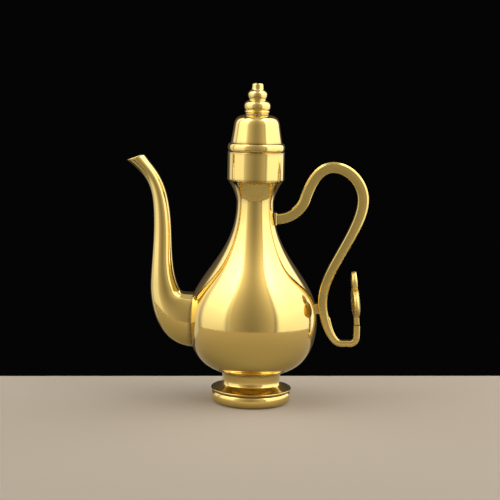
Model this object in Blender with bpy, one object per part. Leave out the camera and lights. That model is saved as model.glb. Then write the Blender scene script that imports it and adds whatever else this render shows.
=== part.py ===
"""Brass wine pot with a long spout, a loop handle and a lift-off lid.

Lengths are in metres and +Z is up. The pot stands on Z = 0, its spout points to -X and its handle
to +X. Shapes are drawn round the pot's own axis, and one empty sets that axis in the frame, so that
the origin lies under the middle of the whole pot.
"""

import math

import bmesh
import bpy
from mathutils import Vector
from mathutils.geometry import interpolate_bezier

MM = 0.001
GAP = 0.3 * MM  # left for the brazing between fixed pieces, and for seats
MERGE = 0.01 * MM

# Foot: a waisted stand on a rounded rim
RIM_RADIUS = 31.4 * MM
RIM_HEIGHT = 9.6 * MM
RIM_WIDTH = 6.0 * MM  # radial width of the ring
RIM_REST_INSET = 1.9 * MM  # from the widest radius in to the flat that rests on the table
RIM_TOP_INSET = 1.1 * MM  # from the widest radius in to the top edge, beside the groove
LIP_RADIUS = 31.6 * MM
LIP_HEIGHT = 1.3 * MM
FLANGE_HEIGHT = 5.0 * MM  # rise of the flange from its lip to the waist
FLANGE_FLAT = 4.0 * MM  # width of the face under the lip
FOOT_TOP_RADIUS = 23.6 * MM
WAIST_INSET = 1.2 * MM  # from the foot's top radius in to its waist
WAIST_FOOT_FLARE = 1.0 * MM
FOOT_WALL = 1.4 * MM
RIM_EDGE = 0.8 * MM

# Body: three spun shells brazed edge to edge, from the shoulder under the collar to the hidden edge
# inside the foot. The seams lie just above and below the root of the spout.
SHOULDER_Z = 175.2 * MM
SHOULDER_SLOPE = 45  # degrees from level
NECK_RADIUS = 14.3 * MM
NECK_Z = 157.5 * MM
BELLY_RADIUS = 50.6 * MM
BELLY_Z = 66.0 * MM
BASE_Z = 23.7 * MM
NECK_SEAM_Z = 92.0 * MM
BOWL_SEAM_Z = 41.0 * MM
BODY_WALL = 1.3 * MM
SPIGOT_HEIGHT = 5.0 * MM  # neck edge that stands up inside the collar
DISC_WALL = 1.2 * MM
DISC_DISH = 0.4 * MM  # depth of the dish
DISC_CLEARANCE = 2.1 * MM  # between the disc and the foot's wall
DISC_LAP = 2.6 * MM  # overlap of the bottom disc round the opening that it closes
POUR_RADIUS = 8.5 * MM
POUR_Z = 63.0 * MM

# Collar
COLLAR_RADIUS = 22.1 * MM
COLLAR_HEIGHT = 21.8 * MM
COLLAR_WALL = 1.8 * MM
COLLAR_EDGE = 0.5 * MM

# Lid
LID_CLEARANCE = 0.4 * MM  # between the skirt and the collar
SKIRT_DEPTH = 12.0 * MM
LID_WALL = 1.2 * MM
BEAD_HEIGHT = 6.2 * MM
DOME_HEIGHT = 20.4 * MM
DOME_TOP_RADIUS = 9.5 * MM  # radius of the flat under the finial
DOME_SHOULDER_RADIUS = 17.4 * MM
DOME_SHOULDER_DROP = 5.6 * MM

# Finial, its heights measured up from its seat on the dome
TANG_RADIUS = 2.5 * MM
FINIAL_HEIGHT = 25.2 * MM
FINIAL_FOOT_RADIUS = 8.5 * MM
RING_RADIUS = 9.5 * MM
RING_Z = 2.6 * MM
LOWER_BEAD_RADIUS = 10.3 * MM
LOWER_BEAD_Z = 6.4 * MM
FINIAL_WAIST_RADIUS = 6.3 * MM
FINIAL_WAIST_Z = 11.4 * MM
UPPER_BEAD_RADIUS = 7.5 * MM
UPPER_BEAD_Z = 15.6 * MM
CAP_RADIUS = 4.4 * MM
CAP_Z = 20.4 * MM
CAP_EDGE = 1.4 * MM
FINIAL_GROOVE = 0.5 * MM  # depth of the grooves that part the beads
WASHER_RADIUS = 5.5 * MM
WASHER_HEIGHT = 1.0 * MM
NUT_FLATS = 8.0 * MM
NUT_HEIGHT = 4.0 * MM
TANG_SPARE = 1.2 * MM  # thread standing out past the nut

# Spout: distances out from the belly's widest radius, and heights
SPOUT_WALL = 1.2 * MM
ROOT_TOP_Z = 86.3 * MM
ROOT_BOTTOM_Z = 43.3 * MM
ROOT_DEPTH = 30.0 * MM  # width across the pot at the root
ROOT_INSIDE = 12.0 * MM  # where the ribs start inside the body, before the fit to the belly trims them
ELBOW_OUT = 29.8 * MM
ELBOW_Z = 91.5 * MM
ELBOW_DEPTH = 19.0 * MM
CORNER_OUT = 7.1 * MM  # inner corner of the elbow
CORNER_Z = 88.6 * MM
STEM_OUT = 27.9 * MM
STEM_Z = 136.0 * MM
STEM_WIDTH = 13.5 * MM
STEM_DEPTH = 13.2 * MM
LIP_OUT = 49.6 * MM  # lowest point of the oblique lip
LIP_Z = 189.0 * MM
LIP_BACK = 13.5 * MM  # from that point back to the highest one
LIP_RISE = 4.4 * MM
LIP_DEPTH = 12.8 * MM

# Handle: distances out from the belly's widest radius, and heights
PAD_THICKNESS = 0.9 * MM  # at its lower edge, where it is thinnest
PAD_HEIGHT = 10.0 * MM
PAD_DEPTH = 8.6 * MM
HANDLE_NECK_Z = 145.3 * MM
HANDLE_RISE_OUT = -11.7 * MM
HANDLE_RISE_Z = 160.5 * MM
HANDLE_TOP_OUT = 9.7 * MM
HANDLE_TOP_Z = 186.1 * MM
HANDLE_SIDE_OUT = 33.1 * MM
HANDLE_SIDE_Z = 161.0 * MM
HANDLE_FALL_OUT = 15.9 * MM
HANDLE_FALL_Z = 117.0 * MM
HANDLE_LOW_OUT = 3.7 * MM
HANDLE_LOW_Z = 81.0 * MM
TAIL_FLOOR_OUT = 19.5 * MM  # where the level floor of the hook starts
TAIL_FLOOR_Z = 47.9 * MM
TAIL_BEND_OUT = 26.6 * MM  # where the floor turns up
TAIL_END_OUT = 31.5 * MM
TAIL_RISE_Z = 52.9 * MM
TAIL_END_Z = 62.6 * MM
LOOP_WIDTH = 7.6 * MM
FALL_WIDTH = 6.4 * MM
TAIL_WIDTH = 4.8 * MM
BAR_WIDTHS = [LOOP_WIDTH] * 4 + [FALL_WIDTH] * 2 + [TAIL_WIDTH] * 4  # one for each knot of the path
BAR_DEPTH = 7.0 * MM
TAIL_DEPTH = 6.0 * MM
BAR_EDGE = 1.1 * MM
SPINE_HEIGHT = 0.7 * MM
SPINE_DEPTH = 4.2 * MM
SPINE_SUNK = 1.0 * MM  # how far it is let into the bar
SPUR_HEIGHT = 1.6 * MM  # at the free tip of the tongue that the spine ends in, inside the hook
PAD_EDGE = 0.6 * MM
PAD_INSIDE = 3.0 * MM  # where the block starts inside the body, before the fit to the neck trims it
LUG_Z = 75.2 * MM
LUG_HEIGHT = 8.0 * MM
LUG_DEPTH = 5.6 * MM
LUG_EDGE = 0.8 * MM
LUG_INSIDE = 3.0 * MM  # where the block starts inside the body, before the fit to the belly trims it

# Tail leaf: heights along the leaf from the end of the tail
LEAF_TILT = 5.0  # degrees that it leans towards the pot
LEAF_THICKNESS = 3.8 * MM
LEAF_EDGE = 1.0 * MM
LEAF_INNER_SWELL = 1.4 * MM  # rise of the face towards the pot above its rim
LEAF_OUTER_SWELL = 1.5 * MM
LEAF_COLLAR_WIDTH = 6.4 * MM
LEAF_COLLAR_HEIGHT = 5.8 * MM
LEAF_WIDTH = 35.0 * MM
LEAF_WIDEST = 16.5 * MM
LEAF_CUSP_WIDTH = 11.4 * MM
LEAF_CUSP = 28.8 * MM
LEAF_TIP_WIDTH = 15.0 * MM
LEAF_TIP_WIDEST = 34.0 * MM
LEAF_HEIGHT = 42.4 * MM

# Roundness of the facets
BODY_STEPS = 36
LID_STEPS = 30
FINIAL_STEPS = 22
SPOUT_SIDES = 18
SPAN_POINTS = 8

# Heights and radii that follow from the sizes above
WAIST_RADIUS = FOOT_TOP_RADIUS - WAIST_INSET
DISC_RADIUS = FOOT_TOP_RADIUS - FOOT_WALL - DISC_CLEARANCE
BASE_RADIUS = DISC_RADIUS - DISC_LAP
BODY_TOP_RADIUS = COLLAR_RADIUS - GAP
COLLAR_BASE_Z = SHOULDER_Z + GAP
MOUTH_Z = COLLAR_BASE_Z + COLLAR_HEIGHT
MOUTH_RADIUS = COLLAR_RADIUS - COLLAR_WALL
LID_SEAT_Z = MOUTH_Z + GAP
SKIRT_RADIUS = MOUTH_RADIUS - LID_CLEARANCE
DOME_TOP_Z = LID_SEAT_Z + BEAD_HEIGHT + GAP + DOME_HEIGHT
TANG_HOLE = TANG_RADIUS + GAP
FINIAL_SEAT_Z = DOME_TOP_Z + GAP
WASHER_TOP_Z = DOME_TOP_Z - LID_WALL - GAP
NUT_TOP_Z = WASHER_TOP_Z - WASHER_HEIGHT - GAP
HANDLE_REACH = BELLY_RADIUS + HANDLE_SIDE_OUT + LOOP_WIDTH / 2 + SPINE_HEIGHT
SPOUT_REACH = BELLY_RADIUS + LIP_OUT
AXIS_X = (SPOUT_REACH - HANDLE_REACH) / 2

# Polished brass, darker where the casting is left less bright
SPUN_BRASS = (0.80, 0.56, 0.20)
CAST_BRASS = (0.74, 0.50, 0.17)
INNER_BRASS = (0.62, 0.42, 0.16)


def heading(degrees):
    return Vector((math.cos(math.radians(degrees)), math.sin(math.radians(degrees))))


def curve_through(knots, points=SPAN_POINTS):
    """Points along a smooth curve. A knot is (x, z, heading in degrees, reach behind, reach ahead)."""
    run = []
    for first, second in zip(knots, knots[1:]):
        start = Vector(first[:2])
        end = Vector(second[:2])
        leave = start + first[4] * heading(first[2])
        arrive = end - second[3] * heading(second[2])
        run += interpolate_bezier(start, leave, arrive, end, points)[: points - 1]
    return run + [Vector(knots[-1][:2])]


def offset(run, distance):
    """The run of points moved to the right of its direction of travel."""
    moved = []
    for index, point in enumerate(run):
        behind = run[max(index - 1, 0)]
        ahead = run[min(index + 1, len(run) - 1)]
        along = (ahead - behind).normalized()
        moved.append(point + distance * Vector((along.y, -along.x)))
    return moved


def eased(values, points=SPAN_POINTS):
    """Values eased from one to the next, one for each point that curve_through gives."""
    run = []
    for first, second in zip(values, values[1:]):
        for step in range(points - 1):
            share = step / (points - 1)
            run.append(first + (second - first) * share * share * (3 - 2 * share))
    return run + [values[-1]]


def add_object(name, mesh, parent, place=(0, 0, 0)):
    piece = bpy.data.objects.new(name, mesh)
    bpy.context.scene.collection.objects.link(piece)
    piece.parent = parent
    piece.location = place
    return piece


def finish(piece, colour, roughness):
    """The piece's own brass, on smooth round faces."""
    brass = bpy.data.materials.new(piece.name + "_brass")
    brass.use_nodes = True
    shader = brass.node_tree.nodes["Principled BSDF"]
    shader.inputs["Base Color"].default_value = (*colour, 1)
    shader.inputs["Metallic"].default_value = 1
    shader.inputs["Roughness"].default_value = roughness
    piece.data.materials.append(brass)
    if piece.data.polygons:
        piece.data.shade_smooth()
        piece.data.set_sharp_from_angle(angle=math.radians(40))
    return piece


def as_cutter(piece):
    piece.hide_render = True
    piece.display_type = "WIRE"
    return piece


def boolean(piece, other, operation="DIFFERENCE"):
    change = piece.modifiers.new(other.name, "BOOLEAN")
    change.operation = operation
    change.solver = "EXACT"
    change.object = other


def turned(name, outline, parent, steps, solid=False):
    """A piece turned round Z. Its (radius, height) outline runs down the outer side, then up the
    inner one. A solid's outline starts and ends on the axis instead."""
    edges = [(index, index + 1) for index in range(len(outline) - 1)]
    if not solid:
        edges.append((len(outline) - 1, 0))
    mesh = bpy.data.meshes.new(name)
    mesh.from_pydata([(radius, 0, z) for radius, z in outline], edges, [])
    piece = add_object(name, mesh, parent)
    turn = piece.modifiers.new("turn", "SCREW")
    turn.axis = "Z"
    turn.steps = steps
    turn.render_steps = steps
    turn.use_merge_vertices = True
    turn.merge_threshold = MERGE
    turn.use_smooth_shade = True
    return piece


def skinned(name, rings, parent, endless=False, capped=True):
    """A skin over rings of points. It ends in caps, or in rings drawn in to a line, or else runs from the
    last ring back to the first."""
    shape = bmesh.new()
    loops = [[shape.verts.new(point) for point in ring] for ring in rings]
    pairs = list(zip(loops, loops[1:]))
    if endless:
        pairs.append((loops[-1], loops[0]))
    elif capped:
        shape.faces.new(loops[0])
        shape.faces.new(loops[-1])
    for first, second in pairs:
        for index in range(len(first)):
            following = (index + 1) % len(first)
            shape.faces.new((first[index], first[following], second[following], second[index]))
    bmesh.ops.remove_doubles(shape, verts=shape.verts, dist=MERGE)
    bmesh.ops.recalc_face_normals(shape, faces=shape.faces)
    mesh = bpy.data.meshes.new(name)
    shape.to_mesh(mesh)
    shape.free()
    return add_object(name, mesh, parent)


def rounded_block(name, size, parent, place, edge):
    shape = bmesh.new()
    bmesh.ops.create_cube(shape, size=1)
    bmesh.ops.scale(shape, vec=size, verts=shape.verts)
    mesh = bpy.data.meshes.new(name)
    shape.to_mesh(mesh)
    shape.free()
    piece = add_object(name, mesh, parent, place)
    round_edges = piece.modifiers.new("rounded edges", "BEVEL")
    round_edges.width = edge
    round_edges.segments = 2
    return piece


def body_profile():
    """Outer line of the body, from the shoulder down to the hidden edge inside the foot."""
    return curve_through(
        [
            (BODY_TOP_RADIUS, SHOULDER_Z, 180 + SHOULDER_SLOPE, 0, 4.5 * MM),
            (NECK_RADIUS, NECK_Z, 270, 5.4 * MM, 43.9 * MM),
            (BELLY_RADIUS, BELLY_Z, 270, 34.7 * MM, 36.0 * MM),
            (BASE_RADIUS, BASE_Z, 186, 11.4 * MM, 0),
        ]
    )


def body_radius(z):
    """Outer radius of the body at a height."""
    line = body_profile()
    for upper, lower in zip(line, line[1:]):
        if lower.y <= z <= upper.y:
            share = (z - lower.y) / (upper.y - lower.y)
            return lower.x + share * (upper.x - lower.x)
    raise ValueError("the height is outside the body")


def under_body(radius, distance):
    """Point below the belly at a radius, with a distance left to its surface."""
    line = offset(body_profile(), -distance)
    for outer, inner in zip(line, line[1:]):
        if outer.y < BELLY_Z and inner.x <= radius <= outer.x:
            share = (radius - inner.x) / (outer.x - inner.x)
            return Vector((radius, inner.y + share * (outer.y - inner.y)))
    raise ValueError("the radius is outside the belly's underside")


def make_body_envelope(pot):
    """Solid of the body's outer form with the brazing gap added, to fit other pieces to it."""
    line = offset(body_profile(), -GAP)
    outline = [Vector((0, line[0].y)), *line, Vector((0, line[-1].y))]
    return as_cutter(turned("body_envelope", outline, pot, BODY_STEPS, solid=True))


def between(line, top, bottom):
    """The part of a falling line between two heights, with its ends at those heights."""
    run = []
    for upper, lower in zip(line, line[1:]):
        high = min(upper.y, top)
        low = max(lower.y, bottom)
        if high > low:
            fall = upper.y - lower.y
            run.append(upper.lerp(lower, (upper.y - high) / fall))
            last = upper.lerp(lower, (upper.y - low) / fall)
    return run + [last]


def shell_band(name, pot, top, bottom):
    """Part of the body's wall between two seams."""
    outer = body_profile()
    inner = offset(outer, BODY_WALL)
    outline = between(outer, top, bottom) + between(inner, top, bottom)[::-1]
    return turned(name, outline, pot, BODY_STEPS)


def make_neck_shell(pot):
    """Neck, with an edge at its top that stands up inside the collar."""
    outer = body_profile()
    spigot = MOUTH_RADIUS - GAP
    bore = spigot - BODY_WALL
    seam = NECK_SEAM_Z + GAP
    inner = between(offset(outer, BODY_WALL), SHOULDER_Z, seam)
    neck_up = [point for point in inner if point.x < bore or point.y < NECK_Z]
    top = SHOULDER_Z + SPIGOT_HEIGHT
    outline = [Vector((spigot, top)), Vector((spigot, SHOULDER_Z)), *between(outer, SHOULDER_Z, seam)]
    outline += [*reversed(neck_up), Vector((bore, SHOULDER_Z)), Vector((bore, top))]
    return finish(turned("neck_shell", outline, pot, BODY_STEPS), SPUN_BRASS, 0.12)


def make_belly_shell(pot):
    """Widest part of the body, with the hole that leads into the spout."""
    shell = shell_band("belly_shell", pot, NECK_SEAM_Z, BOWL_SEAM_Z + GAP)
    drill = bmesh.new()
    bmesh.ops.create_cone(
        drill, segments=20, radius1=POUR_RADIUS, radius2=POUR_RADIUS, depth=BELLY_RADIUS, cap_ends=True
    )
    mesh = bpy.data.meshes.new("pouring_hole")
    drill.to_mesh(mesh)
    drill.free()
    hole = as_cutter(add_object("pouring_hole", mesh, pot, (-BELLY_RADIUS, 0, POUR_Z)))
    hole.rotation_euler.y = math.pi / 2
    boolean(shell, hole)
    return finish(shell, SPUN_BRASS, 0.12)


def make_base_bowl(pot):
    """Underside of the body, open at the bottom where the disc closes it."""
    outer = body_profile()
    inner = offset(outer, BODY_WALL)
    below = between(outer, BOWL_SEAM_Z, BASE_Z)
    outline = below + between(inner, BOWL_SEAM_Z, inner[-1].y)[::-1]
    return finish(turned("base_bowl", outline, pot, BODY_STEPS), SPUN_BRASS, 0.12)


def make_bottom_disc(pot):
    """Shallow dish lapped under the body's bottom opening."""
    edge = under_body(DISC_RADIUS, GAP)
    seat = under_body(BASE_RADIUS + GAP, GAP)
    floor = seat.y - DISC_DISH
    drop = Vector((0, -DISC_WALL))
    outline = [Vector((0, floor)), seat, edge, edge + drop, seat + drop, Vector((0, floor - DISC_WALL))]
    return finish(turned("bottom_disc", outline, pot, BODY_STEPS, solid=True), INNER_BRASS, 0.35)


def make_mouth_collar(pot):
    outline = [
        (COLLAR_RADIUS - COLLAR_EDGE, MOUTH_Z),
        (COLLAR_RADIUS, MOUTH_Z - COLLAR_EDGE),
        (COLLAR_RADIUS, COLLAR_BASE_Z + COLLAR_EDGE),
        (COLLAR_RADIUS - COLLAR_EDGE, COLLAR_BASE_Z),
        (MOUTH_RADIUS, COLLAR_BASE_Z),
        (MOUTH_RADIUS, MOUTH_Z - COLLAR_EDGE),
        (MOUTH_RADIUS + COLLAR_EDGE, MOUTH_Z),
    ]
    return finish(turned("mouth_collar", outline, pot, BODY_STEPS), SPUN_BRASS, 0.12)


def make_foot_stand(pot):
    """Waisted foot whose top edge follows the belly and whose flange ends in a narrow lip."""
    lip_base = RIM_HEIGHT + GAP
    lip_top = lip_base + LIP_HEIGHT
    waist_foot = lip_top + FLANGE_HEIGHT
    top = under_body(FOOT_TOP_RADIUS, GAP)
    waist_z = (top.y + waist_foot) / 2
    flare = WAIST_RADIUS + WAIST_FOOT_FLARE
    waist = curve_through(
        [
            (top.x, top.y, 250, 0, 1.8 * MM),
            (WAIST_RADIUS, waist_z, 270, 1.6 * MM, 1.6 * MM),
            (flare, waist_foot, 295, 1.8 * MM, 0),
        ],
        5,
    )
    flange = curve_through(
        [(flare, waist_foot, 318, 0, 3.0 * MM), (LIP_RADIUS - GAP, lip_top, 345, 3.0 * MM, 0)], 4
    )
    outer = waist + flange[1:]
    inner = offset(outer, FOOT_WALL)
    inside = [point for point in inner if point.x < LIP_RADIUS - FLANGE_FLAT and point.y > lip_base]
    inner_top = under_body(inside[0].x, GAP)
    outline = outer + [
        Vector((LIP_RADIUS, lip_top - LIP_HEIGHT / 3)),
        Vector((LIP_RADIUS - GAP, lip_base)),
        Vector((LIP_RADIUS - FLANGE_FLAT, lip_base)),
    ]
    outline += [*reversed(inside[1:]), inner_top]
    return finish(turned("foot_stand", outline, pot, BODY_STEPS), SPUN_BRASS, 0.14)


def make_foot_rim(pot):
    top = RIM_RADIUS - RIM_TOP_INSET
    rest = RIM_RADIUS - RIM_REST_INSET
    inside = RIM_RADIUS - RIM_WIDTH
    low = RIM_EDGE
    high = RIM_HEIGHT - RIM_EDGE
    side = curve_through(
        [
            (top, RIM_HEIGHT, 330, 0, 1.0 * MM),
            (RIM_RADIUS, RIM_HEIGHT / 2, 270, 3.0 * MM, 2.8 * MM),
            (rest, 0, 215, 1.2 * MM, 0),
        ],
        5,
    )
    bore = [(inside + RIM_EDGE, 0), (inside, low), (inside, high), (inside + RIM_EDGE, RIM_HEIGHT)]
    outline = side + [Vector(point) for point in bore]
    return finish(turned("foot_rim", outline, pot, BODY_STEPS), SPUN_BRASS, 0.14)


def spout_edges():
    """Outer and inner edge of the spout, seen from the side, from its root in the body to its lip."""
    root = BELLY_RADIUS - ROOT_INSIDE
    lip = BELLY_RADIUS + LIP_OUT
    outer = curve_through(
        [
            (root, ROOT_BOTTOM_Z, -8, 0, 35.6 * MM),
            (BELLY_RADIUS + ELBOW_OUT, ELBOW_Z, 90, 17.2 * MM, 13.0 * MM),
            (BELLY_RADIUS + STEM_OUT, STEM_Z, 90, 15.0 * MM, 34.0 * MM),
            (lip, LIP_Z, 38, 22.0 * MM, 0),
        ]
    )
    inner = curve_through(
        [
            (root, ROOT_TOP_Z, 0, 0, 15.0 * MM),
            (BELLY_RADIUS + CORNER_OUT, CORNER_Z, 62, 3.2 * MM, 13.0 * MM),
            (BELLY_RADIUS + STEM_OUT - STEM_WIDTH, STEM_Z, 87, 18.0 * MM, 40.0 * MM),
            (lip - LIP_BACK, LIP_Z + LIP_RISE, 55, 14.0 * MM, 0),
        ]
    )
    return outer, inner


def spout_ring(outer, inner, depth, wall):
    """Oval rib between two edge points, drawn in by a wall on every side."""
    middle = (outer + inner) / 2
    half = (outer - inner) / 2
    half = half * (1 - wall / half.length)
    ring = []
    for side in range(SPOUT_SIDES):
        turn = 2 * math.pi * side / SPOUT_SIDES
        point = middle + half * math.cos(turn)
        ring.append(Vector((-point.x, (depth / 2 - wall) * math.sin(turn), point.y)))
    return ring


def make_spout(pot, envelope):
    outer, inner = spout_edges()
    depths = eased([ROOT_DEPTH, ELBOW_DEPTH, STEM_DEPTH, LIP_DEPTH])
    outside = [spout_ring(*rib, 0) for rib in zip(outer, inner, depths)]
    bore = [spout_ring(*rib, SPOUT_WALL) for rib in zip(outer, inner, depths)]
    spout = skinned("spout", outside + bore[::-1], pot, endless=True)
    boolean(spout, envelope)
    return finish(spout, SPUN_BRASS, 0.12)


def pad_face():
    """Distance from the axis to the flat of the neck pad, which stands clear of the neck below it."""
    return body_radius(HANDLE_NECK_Z - PAD_HEIGHT / 2) + PAD_THICKNESS


def handle_path():
    """Middle line of the bar, from the neck pad over the loop and down to the end of the tail."""
    out = BELLY_RADIUS
    return curve_through(
        [
            (pad_face() + GAP, HANDLE_NECK_Z, 0, 0, 10.0 * MM),
            (out + HANDLE_RISE_OUT, HANDLE_RISE_Z, 73, 8.0 * MM, 9.0 * MM),
            (out + HANDLE_TOP_OUT, HANDLE_TOP_Z, 0, 13.0 * MM, 12.5 * MM),
            (out + HANDLE_SIDE_OUT, HANDLE_SIDE_Z, 270, 13.0 * MM, 13.0 * MM),
            (out + HANDLE_FALL_OUT, HANDLE_FALL_Z, 242.5, 18.0 * MM, 13.0 * MM),
            (out + HANDLE_LOW_OUT, HANDLE_LOW_Z, 270, 13.0 * MM, 13.0 * MM),
            (out + TAIL_FLOOR_OUT, TAIL_FLOOR_Z, 360, 8.5 * MM, 2.5 * MM),
            (out + TAIL_BEND_OUT, TAIL_FLOOR_Z, 360, 2.5 * MM, 2.7 * MM),
            (out + TAIL_END_OUT, TAIL_RISE_Z, 450, 2.6 * MM, 3.0 * MM),
            (out + TAIL_END_OUT, TAIL_END_Z, 450, 3.0 * MM, 0),
        ]
    )


def bar_rings(widths, depths, shift=None):
    """Ribs square to the handle's path, with bevelled edges, moved to its left by a shift at each point."""
    path = handle_path()
    shift = shift or [0] * len(path)
    square_ends = {0: Vector((1, 0)), len(path) - 1: Vector((0, 1))}
    rings = []
    for index, point in enumerate(path):
        along = square_ends.get(index) or path[index + 1] - path[index - 1]
        left = Vector((-along.y, along.x)).normalized()
        wide = widths[index] / 2
        deep = depths[index] / 2
        edge = min(BAR_EDGE, wide / 2)
        quarter = [(wide - edge, deep), (wide, deep - edge)]
        side = quarter + [(across, -out) for across, out in reversed(quarter)]
        ring = []
        for across, out in side + [(-across, -out) for across, out in side]:
            spot = point + left * (shift[index] + across)
            ring.append(Vector((spot.x, out, spot.y)))
        rings.append(ring)
    return rings


def make_handle_bar(pot, lift=0):
    """Cast bar with a raised spine on the outer side, which ends in a tongue that sinks into the floor of
    the hook. A lift grows it on every side, for fitting other pieces to it."""
    widths = [width + 2 * lift for width in eased(BAR_WIDTHS)]
    depths = [depth + 2 * lift for depth in eased([BAR_DEPTH] * 6 + [TAIL_DEPTH] * 4)]
    bar = skinned("handle_bar" if not lift else "handle_envelope", bar_rings(widths, depths), pot)
    if lift:
        return as_cutter(bar)
    first = SPAN_POINTS // 2
    tip = 5 * (SPAN_POINTS - 1) + SPAN_POINTS // 3
    last = 6 * (SPAN_POINTS - 1)
    heights = [SPINE_HEIGHT] * len(widths)
    for index in range(tip, last + 1):
        sunk = (index - tip) / (last - tip)
        heights[index] = SPUR_HEIGHT - sunk * (SPUR_HEIGHT + GAP)
    shift = [(width + height - SPINE_SUNK) / 2 for width, height in zip(widths, heights)]
    spine_widths = [height + SPINE_SUNK for height in heights]
    spine_rings = bar_rings(spine_widths, [SPINE_DEPTH] * len(widths), shift)
    spine = as_cutter(skinned("handle_spine", spine_rings[first : last + 1], pot))
    boolean(bar, spine, "UNION")
    return finish(bar, CAST_BRASS, 0.18)


def make_handle_neck_pad(pot, envelope):
    """Saddle between the neck and the bar: hollowed to the neck, flat towards the bar."""
    start = body_radius(HANDLE_NECK_Z) - PAD_INSIDE
    end = pad_face()
    pad = rounded_block(
        "handle_neck_pad",
        (end - start, PAD_DEPTH, PAD_HEIGHT),
        pot,
        ((start + end) / 2, 0, HANDLE_NECK_Z),
        PAD_EDGE,
    )
    boolean(pad, envelope)
    return finish(pad, CAST_BRASS, 0.2)


def make_handle_belly_lug(pot, envelope, bar_envelope):
    """Short block that fills the room between the belly and the bar, fitted to both."""
    start = body_radius(LUG_Z) - LUG_INSIDE
    end = BELLY_RADIUS + HANDLE_LOW_OUT
    lug = rounded_block(
        "handle_belly_lug",
        (end - start, LUG_DEPTH, LUG_HEIGHT),
        pot,
        ((start + end) / 2, 0, LUG_Z),
        LUG_EDGE,
    )
    boolean(lug, envelope)
    boolean(lug, bar_envelope)
    return finish(lug, CAST_BRASS, 0.2)


def leaf_outline():
    """Right half of the three-lobed leaf, from its collar up to its tip."""
    collar = Vector((LEAF_COLLAR_WIDTH / 2, 0))
    lower_cusp = (LEAF_COLLAR_WIDTH / 2, LEAF_COLLAR_HEIGHT)
    upper_cusp = (LEAF_CUSP_WIDTH / 2, LEAF_CUSP)
    wide_lobe = curve_through(
        [
            (*lower_cusp, 20, 0, 6.0 * MM),
            (LEAF_WIDTH / 2, LEAF_WIDEST, 90, 6.0 * MM, 6.0 * MM),
            (*upper_cusp, 170, 6.0 * MM, 0),
        ],
        6,
    )
    tip_lobe = curve_through(
        [
            (*upper_cusp, 50, 0, 2.0 * MM),
            (LEAF_TIP_WIDTH / 2, LEAF_TIP_WIDEST, 90, 2.4 * MM, 3.0 * MM),
            (0, LEAF_HEIGHT, 165, 4.0 * MM, 0),
        ],
        5,
    )
    return [collar] + wide_lobe + tip_lobe[1:]


def leaf_ring(share, height, swell=0):
    """Outline of the leaf drawn in by a share of its width, at a height above its middle plane. The swell
    is what the widest place rises by on the way to its middle."""
    half = leaf_outline()
    outline = half + [Vector((-point.x, point.y)) for point in reversed(half[:-1])]
    ring = []
    for across, up in outline:
        lobe = min(up, LEAF_TIP_WIDEST)
        rise = swell * (1 - (1 - share) ** 2) * abs(across) / (LEAF_WIDTH / 2)
        ring.append(Vector((height + rise, across * (1 - share), up + (lobe - up) * share)))
    return ring


def make_tail_leaf(pot):
    """Leaf with a bevelled rim and lobes that swell a little on both faces."""
    rim = LEAF_THICKNESS / 2
    edge = 2 * LEAF_EDGE / LEAF_WIDTH
    rings = [
        leaf_ring(1, -rim, -LEAF_INNER_SWELL),
        leaf_ring(0.5, -rim, -LEAF_INNER_SWELL),
        leaf_ring(edge, -rim),
        leaf_ring(0, LEAF_EDGE - rim),
        leaf_ring(0, rim - LEAF_EDGE),
        leaf_ring(edge, rim),
        leaf_ring(0.5, rim, LEAF_OUTER_SWELL),
        leaf_ring(1, rim, LEAF_OUTER_SWELL),
    ]
    leaf = skinned("tail_leaf", rings, pot, capped=False)
    leaf.location = (BELLY_RADIUS + TAIL_END_OUT, 0, TAIL_END_Z + 2 * GAP)
    leaf.rotation_euler.y = -math.radians(LEAF_TILT)
    return finish(leaf, CAST_BRASS, 0.22)


def on_lid(outline):
    """The outline with its heights measured from the lid's seat."""
    return [(radius, z - LID_SEAT_Z) for radius, z in outline]


def make_lid_skirt(lid):
    top = LID_SEAT_Z + BEAD_HEIGHT
    bore = SKIRT_RADIUS - LID_WALL
    outline = [
        (SKIRT_RADIUS, top),
        (SKIRT_RADIUS, MOUTH_Z - SKIRT_DEPTH),
        (bore, MOUTH_Z - SKIRT_DEPTH),
        (bore, top),
    ]
    return finish(turned("lid_skirt", on_lid(outline), lid, LID_STEPS), INNER_BRASS, 0.3)


def make_lid_bead_ring(lid):
    """Half-round ring that stops the lid on the mouth of the collar."""
    bore = SKIRT_RADIUS + GAP
    swell = COLLAR_RADIUS - bore
    side = []
    for step in range(9):
        turn = math.pi * (0.5 - step / 8)
        height = LID_SEAT_Z + BEAD_HEIGHT * (1 + math.sin(turn)) / 2
        side.append((bore + swell * (0.25 + 0.75 * math.cos(turn)), height))
    outline = side + [(bore, LID_SEAT_Z), (bore, LID_SEAT_Z + BEAD_HEIGHT)]
    return finish(turned("lid_bead_ring", on_lid(outline), lid, LID_STEPS), SPUN_BRASS, 0.12)


def make_lid_dome(lid):
    base = LID_SEAT_Z + BEAD_HEIGHT + GAP
    shoulder_z = DOME_TOP_Z - DOME_SHOULDER_DROP
    outer = curve_through(
        [
            (DOME_TOP_RADIUS, DOME_TOP_Z, 0, 0, 4.6 * MM),
            (DOME_SHOULDER_RADIUS, shoulder_z, 278, 3.4 * MM, 5.0 * MM),
            (SKIRT_RADIUS, base, 279, 5.0 * MM, 0),
        ],
        6,
    )
    inner = offset(outer, LID_WALL)
    inner[-1] = Vector((SKIRT_RADIUS - LID_WALL, base))
    under = DOME_TOP_Z - LID_WALL
    outline = [(TANG_HOLE, DOME_TOP_Z), *outer, *reversed(inner), (TANG_HOLE, under)]
    return finish(turned("lid_dome", on_lid(outline), lid, LID_STEPS), SPUN_BRASS, 0.12)


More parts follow.
